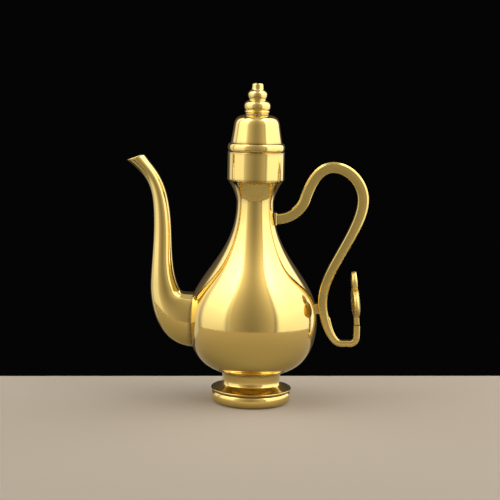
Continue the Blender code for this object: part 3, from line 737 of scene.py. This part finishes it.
def leaf_outline():
    """Half of the three-lobed leaf, from its collar up to its tip."""
    stem = 3.2 * MM
    lower_cusp = (stem, LEAF_CUSP)
    upper_cusp = (5.7 * MM, 28.8 * MM)
    wide_lobe = curve_through(
        [
            (*lower_cusp, 20, 0, 6.0 * MM),
            (LEAF_HALF_WIDTH, LEAF_WIDEST, 90, 6.0 * MM, 6.0 * MM),
            (*upper_cusp, 170, 6.0 * MM, 0),
        ]
    )
    tip_lobe = curve_through(
        [
            (*upper_cusp, 50, 0, 2.0 * MM),
            (7.5 * MM, LEAF_TIP_WIDEST, 90, 2.4 * MM, 3.0 * MM),
            (0, 42.4 * MM, 165, 4.0 * MM, 0),
        ]
    )
    collar = [Vector((stem, LEAF_CUSP * step / 8)) for step in range(8)]
    return collar + wide_lobe + tip_lobe[1:]


def leaf_ring(share, height, swell):
    """Outline of the leaf drawn in by a share of its width, at a height above its middle plane. The swell
    is what the widest place rises by on the way to its middle."""
    half = leaf_outline()
    outline = half + [Vector((-point.x, point.y)) for point in reversed(half[:-1])]
    ring = []
    for across, up in outline:
        lobe = min(up, LEAF_TIP_WIDEST)
        rise = swell * (1 - (1 - share) ** 2) * abs(across) / LEAF_HALF_WIDTH
        ring.append(Vector((height + rise, across * (1 - share), up + (lobe - up) * share)))
    return ring


class WINEPOT_OT_body(bpy.types.Operator):
    """Makes the spun body with its neck"""

    bl_idname = "wine_pot.body"
    bl_label = "Body"

    def execute(self, context):
        sizes = context.scene.wine_pot_sizes
        outer = body_profile(sizes)
        spigot = COLLAR_RADIUS - sizes.collar_wall - GAP
        bore = spigot - sizes.body_wall
        inner = offset(outer, sizes.body_wall)
        up = [point for point in inner if point.x < bore or point.y < sizes.neck_height]
        outline = [Vector((spigot, NECK_TOP)), Vector((spigot, SHOULDER_Z)), *outer, *reversed(up)]
        outline += [Vector((bore, SHOULDER_Z)), Vector((bore, NECK_TOP))]
        root = [to_spout_side(line[-1]) for line in spout_lines(sizes, 0)]
        # Tarnish at the foot's joint under the belly, widened into a band of painted shade round the top of
        # the foot
        tarnish_and_shade = [under_body(sizes, radius * MM, 0) for radius in (22.8, 24.0, 25.2)]
        seams_and_shade = rings_of(outer[0], *tarnish_and_shade) + root
        piece = turned("body", outline, spun_brass(context.scene.wine_pot_finish), seams_and_shade)
        hand_over(piece, "pot", "spun_brass", "neck_shell", "belly_shell", "base_bowl")
        return {"FINISHED"}


class WINEPOT_OT_foot(bpy.types.Operator):
    """Makes the waisted foot, its rim and the disc that closes the body"""

    bl_idname = "wine_pot.foot"
    bl_label = "Foot"

    def execute(self, context):
        sizes = context.scene.wine_pot_sizes
        finish = context.scene.wine_pot_finish
        lip = STAND_RADIUS
        lip_base = STAND_BASE
        lip_top = lip_base + 1.3 * MM
        bead_root = lip - 1.5 * MM
        ledge = lip - 4.0 * MM
        wall = 1.4 * MM
        narrow = sizes.waist_radius
        top = under_body(sizes, narrow + 0.8 * MM, GAP)
        waist = curve_through(
            [
                (top.x, top.y, 255, 0, 1.2 * MM),
                (narrow, lip_top + 7.4 * MM, 270, 1.2 * MM, 0.9 * MM),
                (narrow + 0.2 * MM, lip_top + 5.3 * MM, 279, 0.9 * MM, 1.2 * MM),
                (narrow + 2.0 * MM, lip_top + 2.9 * MM, 325, 1.2 * MM, 1.5 * MM),
                (bead_root, lip_top, 330, 1.5 * MM, 0),
            ]
        )
        bead = curve_through(
            [
                (bead_root, lip_top, 25, 0, 0.4 * MM),
                (lip - 0.7 * MM, lip_top + 0.35 * MM, 0, 0.4 * MM, 0.4 * MM),
                (lip, lip_top - 0.3 * MM, 270, 0.4 * MM, 0),
            ],
            8,
        )
        inside = [point for point in offset(waist, wall) if point.x < ledge and point.y > lip_base]
        inner_top = under_body(sizes, inside[0].x, GAP)
        under = [Vector((lip - GAP, lip_base)), Vector((ledge, lip_base))]
        outline = waist + bead[1:] + under + [*reversed(inside[1:]), inner_top]
        seams_and_shade = rings_of(top, (bead_root, lip_top), (lip, lip_base))
        stand = turned("foot_waist", rounded(outline, 0.25 * MM), spun_brass(finish), seams_and_shade)
        hand_over(stand, "pot", "spun_brass", "foot_stand")

        rim = RIM_RADIUS
        rim_top = RIM_TOP
        shoulder = rim - 1.9 * MM
        tread = rim - 2.8 * MM
        bore = rim - 6.0 * MM
        bevel = 0.8 * MM
        side = curve_through(
            [
                (shoulder, rim_top, 336, 0, 1.5 * MM),
                (rim, rim_top * 0.52, 270, 2.3 * MM, 2.7 * MM),
                (tread, 0, 205, 2.2 * MM, 0),
            ]
        )
        hole = [(bore + bevel, 0), (bore, bevel), (bore, rim_top - bevel), (bore + bevel, rim_top)]
        outline = side + [Vector(point) for point in hole]
        # Tarnish at the joint under the lip, and painted contact shade along the tread that stands on the
        # floor
        seams_and_shade = rings_of((shoulder, rim_top), (tread, 0))
        ring = turned("foot_ring", rounded(outline, 0.25 * MM), spun_brass(finish), seams_and_shade)
        hand_over(ring, "pot", "spun_brass", "foot_rim")

        seat = under_body(sizes, 17.8 * MM, GAP)
        rim_edge = under_body(sizes, inner_top.x - GAP, GAP)
        middle = Vector((0, seat.y - 0.4 * MM))
        drop = Vector((0, -1.2 * MM))
        outline = [middle, seat, rim_edge, rim_edge + drop, seat + drop, middle + drop]
        disc = turned("base_disc", outline, turned_brass(finish), solid=True)
        hand_over(disc, "pot", "inner_brass", "bottom_disc")
        return {"FINISHED"}


class WINEPOT_OT_collar(bpy.types.Operator):
    """Makes the plain band round the mouth"""

    bl_idname = "wine_pot.collar"
    bl_label = "Collar"

    def execute(self, context):
        sizes = context.scene.wine_pot_sizes
        out = COLLAR_RADIUS
        outline = band(out, out - sizes.collar_wall, COLLAR_BASE, MOUTH_Z)
        seams_and_shade = rings_of((out, COLLAR_BASE), (out, MOUTH_Z))
        finish = spun_brass(context.scene.wine_pot_finish)
        piece = turned("mouth_band", rounded(outline, 0.5 * MM), finish, seams_and_shade)
        hand_over(piece, "pot", "spun_brass", "mouth_collar")
        return {"FINISHED"}


class WINEPOT_OT_lid(bpy.types.Operator):
    """Makes the lid's dome, bead ring and skirt"""

    bl_idname = "wine_pot.lid"
    bl_label = "Lid"

    def execute(self, context):
        sizes = context.scene.wine_pot_sizes
        finish = context.scene.wine_pot_finish
        skirt = SKIRT_RADIUS
        top = DOME_TOP + sizes.crown_rise
        outer = curve_through(
            [
                (9.8 * MM, top, -9, 0, 5.0 * MM),
                (17.7 * MM, top - 7.6 * MM, 278, 5.0 * MM, 4.0 * MM),
                (DOME_RADIUS, DOME_BASE, 279, 5.0 * MM, 0),
            ]
        )
        inner = offset(outer, sizes.lid_wall)
        inner[-1] = Vector((DOME_RADIUS - sizes.lid_wall, DOME_BASE))
        hole = [Vector((TANG_HOLE, top - sizes.lid_wall)), Vector((TANG_HOLE, top))]
        outline = [hole[1], *outer, *reversed(inner), hole[0]]
        seams_and_shade = rings_of((DOME_RADIUS, DOME_BASE), (9.2 * MM, top))
        dome = turned("dome", outline, spun_brass(finish), seams_and_shade)
        hand_over(dome, "lid", "spun_brass", "lid_dome")

        bore = skirt + GAP
        swell = BEAD_RADIUS - bore
        height = BEAD_TOP - BEAD_BASE
        side = []
        for step in range(2 * SPAN_POINTS + 1):
            turn = math.pi * (0.5 - step / (2 * SPAN_POINTS))
            out = bore + swell * (0.25 + 0.75 * math.cos(turn))
            side.append(Vector((out, BEAD_BASE + height * (1 + math.sin(turn)) / 2)))
        outline = side + [Vector((bore, BEAD_BASE)), Vector((bore, BEAD_TOP))]
        seams_and_shade = rings_of((bore, BEAD_TOP), (bore + swell / 4, BEAD_BASE))
        bead = turned("bead_ring", outline, spun_brass(finish), seams_and_shade)
        hand_over(bead, "lid", "spun_brass", "lid_bead_ring")

        outline = band(skirt, skirt - sizes.lid_wall, SKIRT_BASE, SKIRT_TOP)
        sleeve = turned("lid_sleeve", rounded(outline, 0.3 * MM), turned_brass(finish))
        hand_over(sleeve, "lid", "inner_brass", "lid_skirt")
        return {"FINISHED"}


class WINEPOT_OT_finial(bpy.types.Operator):
    """Makes the turned finial, and the washer and nut that hold it"""

    bl_idname = "wine_pot.finial"
    bl_label = "Finial"

    def execute(self, context):
        finish = context.scene.wine_pot_finish
        rise = context.scene.wine_pot_sizes.crown_rise
        seat = DOME_TOP + rise + GAP
        top = FINIAL_TOP
        bead = FINIAL_RADIUS
        foot = 9.0 * MM
        cap = curve_through(
            [
                (3.0 * MM, top, 0, 0, 0.9 * MM),
                (4.3 * MM, top - 1.3 * MM, 274, 0.7 * MM, 1.0 * MM),
                (4.6 * MM, seat + 19.6 * MM, 278, 1.0 * MM, 0.6 * MM),
                (7.5 * MM, seat + 15.6 * MM, 270, 2.0 * MM, 1.3 * MM),
                (6.6 * MM, seat + 12.2 * MM, 240, 1.0 * MM, 0.4 * MM),
                (6.4 * MM, seat + 10.9 * MM, 270, 0.5 * MM, 0),
            ],
            12,
        )
        lower = curve_through(
            [
                (6.9 * MM, seat + 10.8 * MM, 345, 0, 1.8 * MM),
                (bead, seat + 6.6 * MM, 270, 2.4 * MM, 1.6 * MM),
                (9.3 * MM, seat + 3.2 * MM, 240, 1.0 * MM, 0),
            ],
            14,
        )
        ring = curve_through(
            [
                (9.4 * MM, seat + 3.1 * MM, 330, 0, 0.3 * MM),
                (9.7 * MM, seat + 2.2 * MM, 270, 0.5 * MM, 0.4 * MM),
                (foot, seat + 1.2 * MM, 225, 0.6 * MM, 0),
            ],
            8,
        )
        tang = [(foot, seat), (TANG_RADIUS, seat), (TANG_RADIUS, FINIAL_BASE), (0, FINIAL_BASE)]
        outline = [Vector((0, top)), *cap, *lower, *ring, *[Vector(point) for point in tang]]
        seams_and_shade = rings_of((foot, seat))
        knob = turned("knob", outline, spun_brass(finish), seams_and_shade, solid=True)
        hand_over(knob, "lid", "spun_brass", "finial")

        outline = band(WASHER_RADIUS, TANG_HOLE, WASHER_BASE, WASHER_TOP + rise)
        washer = turned("knob_washer", rounded(outline, 0.2 * MM), turned_brass(finish))
        hand_over(washer, "lid", "inner_brass", "finial_washer")
        outline = band(NUT_RADIUS, NUT_BORE, NUT_BASE, NUT_TOP)
        nut = turned("knob_nut", rounded(outline, 0.3 * MM), turned_brass(finish), steps=6)
        hand_over(nut, "lid", "inner_brass", "finial_nut")
        return {"FINISHED"}


class WINEPOT_OT_spout(bpy.types.Operator):
    """Makes the hollow spout, fitted to the belly"""

    bl_idname = "wine_pot.spout"
    bl_label = "Spout"

    def execute(self, context):
        sizes = context.scene.wine_pot_sizes
        outside = [[to_spout_side(point) for point in line] for line in spout_lines(sizes, 0)]
        bore = [[to_spout_side(point) for point in line] for line in spout_lines(sizes, sizes.spout_wall)]
        lines = [rounded_lip(out, into) for out, into in zip(outside, bore)]
        rings = [list(ring) for ring in zip(*lines)]
        root = [line[-1] for line in outside]
        finish = spun_brass(context.scene.wine_pot_finish)
        piece = skinned("pouring_spout", rings, finish, endless=True, seams_and_shade=root)
        hand_over(piece, "pot", "spun_brass", "spout")
        return {"FINISHED"}


class WINEPOT_OT_handle(bpy.types.Operator):
    """Makes the cast handle with its spine, and finishes the pad and lug that carry it"""

    bl_idname = "wine_pot.handle"
    bl_label = "Handle"

    def execute(self, context):
        sizes = context.scene.wine_pot_sizes
        finish = cast_brass(context.scene.wine_pot_finish)
        path = handle_path()
        widths = eased([width * MM for width in (7.6, 7.6, 7.6, 7.6, 6.4, 6.4, 4.8, 4.8, 4.8, 4.8)])
        depths = eased([depth * MM for depth in (7, 7, 7, 7, 7, 7, 6, 6, 6, 6)])
        # The spine starts on the way up from the neck, and ends in a raised tip on the way to the tail
        tip_height = 1.6 * MM
        first = SPAN_POINTS // 2
        tip = 5 * (SPAN_POINTS - 1) + SPAN_POINTS // 3
        last = 6 * (SPAN_POINTS - 1)
        square_ends = {0: Vector((1, 0)), len(path) - 1: Vector((0, 1))}
        rings = []
        for index, point in enumerate(path):
            along = square_ends.get(index) or path[index + 1] - path[index - 1]
            left = Vector((-along.y, along.x)).normalized()
            spine = sizes.spine_height if first <= index < tip else 0.0
            if tip <= index <= last:
                spine = tip_height * (last - index) / (last - tip)
            ring = []
            for across, deep in bar_section(widths[index], depths[index], spine):
                spot = point + left * across
                ring.append(Vector((AXIS_X + spot.x, deep, spot.y)))
            rings.append(ring)
        piece = skinned("handle", rings, finish)
        hand_over(piece, "pot", "cast_brass", "handle_bar")
        for name in ("handle_neck_pad", "handle_belly_lug"):
            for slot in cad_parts[name].material_slots:
                slot.link = "OBJECT"
                slot.material = finish
        return {"FINISHED"}


class WINEPOT_OT_leaf(bpy.types.Operator):
    """Makes the three-lobed leaf on the end of the tail"""

    bl_idname = "wine_pot.leaf"
    bl_label = "Tail leaf"

    def execute(self, context):
        sizes = context.scene.wine_pot_sizes
        rim = sizes.leaf_thickness / 2
        rim_points = 2 * CORNER_POINTS
        rings = []
        for side, swell in ((-1, 1.4 * MM), (1, 1.5 * MM)):
            face = []
            for step in range(rim_points):
                turn = math.pi / 2 * step / (rim_points - 1)
                share = 0.1 * (1 - math.cos(turn))
                face.append(leaf_ring(share, side * rim * math.sin(turn), 0))
            for share in (0.2, 0.3, 0.45, 0.6, 0.75, 0.9, 1):
                face.append(leaf_ring(share, side * rim, side * swell))
            rings += face[::-1] if side < 0 else face
        base = 63.2 * MM
        place = Matrix.Translation((AXIS_X + BELLY_RADIUS + TAIL_REACH, 0, base))
        lean = place @ Matrix.Rotation(-math.radians(5.0), 4, "Y")
        rings = [[lean @ point for point in ring] for ring in rings]
        middle = rings[len(rings) // 2]
        seams_and_shade = [point for point in middle if point.z < middle[0].z + 0.3 * MM]
        finish = satin_brass(context.scene.wine_pot_finish)
        piece = skinned("leaf", rings, finish, capped=False, seams_and_shade=seams_and_shade)
        hand_over(piece, "pot", "cast_brass", "tail_leaf")
        return {"FINISHED"}


def light_panel(name, place, width, height):
    """A flat light, unseen by the camera, whose emission strength is its radiance."""
    light = bpy.data.lights.new(name, "AREA")
    light.shape = "RECTANGLE"
    light.size = width
    light.size_y = height
    light.energy = math.pi * width * height
    light.use_nodes = True
    panel = bpy.data.objects.new(name, light)
    bpy.context.scene.collection.objects.link(panel)
    panel.matrix_world = place
    panel.visible_camera = False
    return light.node_tree


def softbox(name, azimuths, distance, heights, radiance, soft, middle=1):
    """An upright light panel round the pot, between two azimuths from the camera's side. Its radiance
    goes from the first value at its foot to the second at its top, falls to a share of that in its middle
    line, and fades out over a soft edge."""
    ends = []
    for azimuth in azimuths:
        turn = math.radians(azimuth)
        ends.append(Vector((AXIS_X + distance * math.sin(turn), -distance * math.cos(turn), 0)))
    centre = (ends[0] + ends[1]) / 2
    outward = Vector((centre.x - AXIS_X, centre.y, 0)).normalized()
    up = Vector((0, 0, 1))
    facing = Matrix((up.cross(outward), up, outward)).transposed().to_4x4()
    width = (ends[1] - ends[0]).length
    height = heights[1] - heights[0]
    place = Matrix.Translation((centre.x, centre.y, sum(heights) / 2)) @ facing
    tree = light_panel(name, place, width, height)

    def ramp(value, start, end, low, high):
        limits = {"Value": value, "From Min": start, "From Max": end, "To Min": low, "To Max": high}
        return add_node(tree, "ShaderNodeMapRange", limits, interpolation_type="SMOOTHSTEP").outputs[0]

    def from_middle(value):
        return maths(tree, "ABSOLUTE", maths(tree, "SUBTRACT", value, 0.5))

    spot = add_node(tree, "ShaderNodeNewGeometry").outputs["Parametric"]
    parts = add_node(tree, "ShaderNodeSeparateXYZ", {0: spot}).outputs
    across = from_middle(parts["X"])
    along = from_middle(parts["Y"])
    level = ramp(parts["Y"], 0, 1, *radiance)
    for factor in (
        ramp(across, 0, 0.5, middle, 1),
        ramp(across, 0.5 - soft / width, 0.5, 1, 0),
        ramp(along, 0.5 - soft / height, 0.5, 1, 0),
    ):
        level = maths(tree, "MULTIPLY", level, factor)
    tree.links.new(level, tree.nodes["Emission"].inputs["Strength"])


class WINEPOT_OT_stage(bpy.types.Operator):
    """Makes the plain pale floor, the soft studio lights and the camera"""

    bl_idname = "wine_pot.stage"
    bl_label = "Studio"

    def execute(self, context):
        studio = context.scene.wine_pot_studio
        # The floor has a round front, and a back edge that isn't quite square to the camera
        skew = Matrix.Rotation(math.radians(6), 3, "Z")
        thickness = 30 * MM
        reach = studio.floor_reach
        outline = [(reach, studio.floor_back), (-reach, studio.floor_back)]
        for step in range(TURN_STEPS // 2 + 1):
            turn = math.tau * step / TURN_STEPS
            outline.append((-reach * math.cos(turn), -reach * math.sin(turn)))
        shape = bmesh.new()
        top = shape.faces.new([shape.verts.new((x, y, 0)) for x, y in outline])
        sides = bmesh.ops.extrude_face_region(shape, geom=[top], use_keep_orig=True)["geom"]
        lowered = [item for item in sides if isinstance(item, bmesh.types.BMVert)]
        bmesh.ops.translate(shape, vec=(0, 0, -thickness), verts=lowered)
        bmesh.ops.recalc_face_normals(shape, faces=shape.faces)
        bmesh.ops.rotate(shape, matrix=skew, verts=shape.verts)
        bmesh.ops.translate(shape, vec=(AXIS_X, 0, 0), verts=shape.verts)
        sharp = [edge for edge in shape.edges if edge.calc_face_angle(0) > SHARP_ANGLE]
        bmesh.ops.bevel(shape, geom=sharp, offset=4 * MM, segments=4, affect="EDGES")
        mesh = bpy.data.meshes.new("floor")
        shape.to_mesh(mesh)
        shape.free()
        floor = add_piece("floor", mesh)
        # Matt paint with a warm bloom at flat angles, which keeps the floor pale towards its back
        paint = bpy.data.materials.new("matt_pale_floor")
        paint.use_nodes = True
        shader = paint.node_tree.nodes["Principled BSDF"]
        shader.inputs["Base Color"].default_value = (*studio.floor_colour, 1)
        shader.inputs["Roughness"].default_value = 0.7
        shader.inputs["Sheen Weight"].default_value = 0.8
        shader.inputs["Sheen Roughness"].default_value = 0.45
        shader.inputs["Sheen Tint"].default_value = (1, 0.8, 0.66, 1)
        mesh.materials.append(paint)

        # The pale panels give the bright bands on the brass, and the dim one behind gives its brown rims
        softbox("left_softbox", (-38, -110), 1.25, (-0.6, 3.0), (0.8, 4.8), 0.36)
        softbox("right_softbox", (37, 132), 1.25, (-0.6, 3.0), (1.05, 4.8), 0.36)
        softbox("left_reflector", (-101, -138), 1.25, (-0.8, 1.8), (0.5, 2.0), 0.3)
        softbox("right_reflector", (123, 144), 1.25, (-0.34, 1.8), (1.4, 2.3), 0.2)
        softbox("back_fill", (134, 226), 1.25, (-0.6, 1.8), (0.12, 0.2), 0.1, 0.35)
        softbox("front_fill", (-46, 42), 1.6, (-0.6, 3.4), (0.56, 1.5), 0.2, 0.46)
        bpy.data.lights["back_fill"].color = BROWN
        bpy.data.lights["front_fill"].color = WARM
        overhead = light_panel("overhead_softbox", Matrix.Translation((AXIS_X, 0, 1.9)), 1.8, 1.5)
        overhead.nodes["Emission"].inputs["Strength"].default_value = 0.55

        world = bpy.data.worlds.new("dark_studio")
        world.use_nodes = True
        world.node_tree.nodes["Background"].inputs["Color"].default_value = (0.0015, 0.0015, 0.0015, 1)
        context.scene.world = world
        context.scene.view_settings.view_transform = "Standard"

        camera = bpy.data.objects.new("camera", bpy.data.cameras.new("camera"))
        context.scene.collection.objects.link(camera)
        camera.data.lens = studio.lens
        camera.data.sensor_width = 36
        camera.data.clip_start = 0.05
        turn = Matrix.Rotation(math.radians(90) - studio.camera_pitch, 4, "X")
        roll = Matrix.Rotation(studio.camera_roll, 4, "Z")
        spot = (AXIS_X - studio.camera_left, -studio.camera_distance, studio.camera_height)
        camera.matrix_world = Matrix.Translation(spot) @ turn @ roll
        context.scene.camera = camera
        return {"FINISHED"}


MAKERS = (
    WINEPOT_OT_stage,
    WINEPOT_OT_body,
    WINEPOT_OT_foot,
    WINEPOT_OT_collar,
    WINEPOT_OT_lid,
    WINEPOT_OT_finial,
    WINEPOT_OT_spout,
    WINEPOT_OT_handle,
    WINEPOT_OT_leaf,
)


class WINEPOT_PT_panel(bpy.types.Panel):
    """Lists the pieces of the wine pot"""

    bl_idname = "WINEPOT_PT_panel"
    bl_label = "Wine Pot"
    bl_space_type = "VIEW_3D"
    bl_region_type = "UI"
    bl_category = "Wine Pot"

    def draw(self, context):
        for maker in MAKERS:
            self.layout.operator(maker.bl_idname)
        scene = context.scene
        for group in (scene.wine_pot_sizes, scene.wine_pot_finish, scene.wine_pot_studio):
            for name in group.__annotations__:
                self.layout.prop(group, name)


GROUPS = (WinePotSizes, WinePotFinish, WinePotStudio)
CLASSES = (*GROUPS, *MAKERS, WINEPOT_PT_panel)


def register():
    for kind in CLASSES:
        bpy.utils.register_class(kind)
    bpy.types.Scene.wine_pot_sizes = bpy.props.PointerProperty(type=WinePotSizes)
    bpy.types.Scene.wine_pot_finish = bpy.props.PointerProperty(type=WinePotFinish)
    bpy.types.Scene.wine_pot_studio = bpy.props.PointerProperty(type=WinePotStudio)


def unregister():
    del bpy.types.Scene.wine_pot_sizes
    del bpy.types.Scene.wine_pot_finish
    del bpy.types.Scene.wine_pot_studio
    for kind in reversed(CLASSES):
        bpy.utils.unregister_class(kind)


def main():
    register()
    bpy.ops.wine_pot.stage()
    bpy.ops.wine_pot.body()
    bpy.ops.wine_pot.foot()
    bpy.ops.wine_pot.collar()
    bpy.ops.wine_pot.lid()
    bpy.ops.wine_pot.finial()
    bpy.ops.wine_pot.spout()
    bpy.ops.wine_pot.handle()
    bpy.ops.wine_pot.leaf()


if __name__ == "__main__":
    main()
